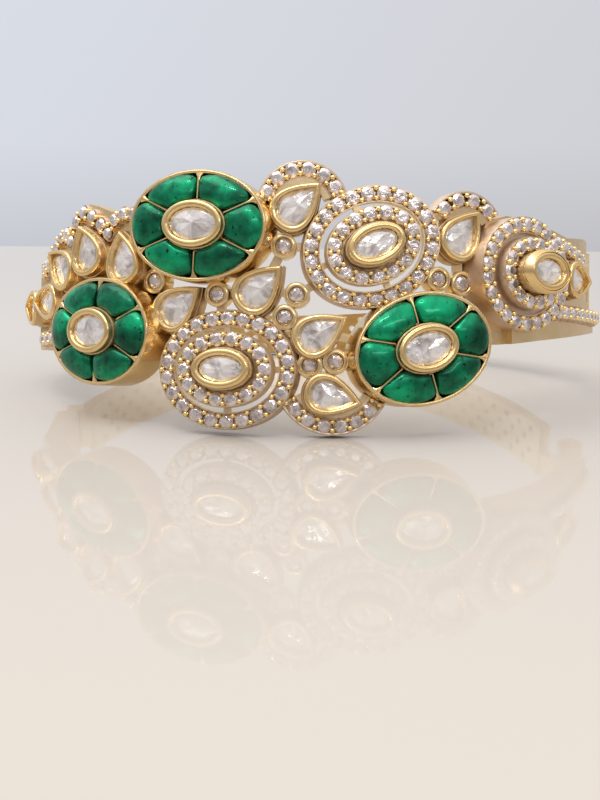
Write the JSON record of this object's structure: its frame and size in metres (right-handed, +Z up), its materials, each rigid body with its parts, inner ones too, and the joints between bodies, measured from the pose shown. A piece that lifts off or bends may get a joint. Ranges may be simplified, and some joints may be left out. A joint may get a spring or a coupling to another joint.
{
  "type": "meenakari bracelet",
  "caption": "Openable oval kada with domed green glass flowers, pave halos and flat cut pear stones in gold settings, and a hinged pierced back half.",
  "frame": {"origin": "Middle of the bounding box on the floor that the bangle lies on.", "axes": "+X to the hinge side, -Y towards the ornament's front, +Z up from the floor."},
  "size_m": [0.0666, 0.0548, 0.0267],
  "materials": {
    "gold": "polished gold plate",
    "green_glass": "polished dome",
    "flat_stone": "foiled flat cut",
    "white_stone": "faceted"
  },
  "bodies": {
    "front": {"front_frame": "gold", "hinge_pin": "gold", "green_left_1": "green_glass", "green_left_2": "green_glass", "green_left_3": "green_glass", "green_left_4": "green_glass", "green_left_5": "green_glass", "green_left_6": "green_glass", "green_top_1": "green_glass", "green_top_2": "green_glass", "green_top_3": "green_glass", "green_top_4": "green_glass", "green_top_5": "green_glass", "green_top_6": "green_glass", "green_right_1": "green_glass", "green_right_2": "green_glass", "green_right_3": "green_glass", "green_right_4": "green_glass", "green_right_5": "green_glass", "green_right_6": "green_glass", "stone_green_left": "flat_stone", "stone_green_top": "flat_stone", "stone_green_right": "flat_stone", "stone_halo_left": "flat_stone", "stone_halo_right": "flat_stone", "stone_halo_side": "flat_stone", "pear_top": "flat_stone", "pear_high_left": "flat_stone", "pear_centre": "flat_stone", "pear_mid": "flat_stone", "pear_low": "flat_stone", "pear_high_right": "flat_stone", "pear_arm_1": "flat_stone", "pear_arm_2": "flat_stone", "pear_arm_3": "flat_stone", "pear_arm_4": "flat_stone", "pear_arm_5": "flat_stone", "pear_end": "flat_stone", "round_stones": "white_stone", "pave_halo_left": "white_stone", "pave_halo_right": "white_stone", "pave_halo_side": "white_stone", "pave_crests": "white_stone", "pave_left_arm": "white_stone", "pave_right_arm": "white_stone"},
    "back": {"back_band": "gold"}
  },
  "joints": [
    {"name": "hinge", "type": "hinge", "parent": "front", "child": "back", "pos_m": [0.03179, 0.00468, 0.01115], "axis": [0, -0.2085, -0.978], "range_deg": [0, 65]}
  ]
}
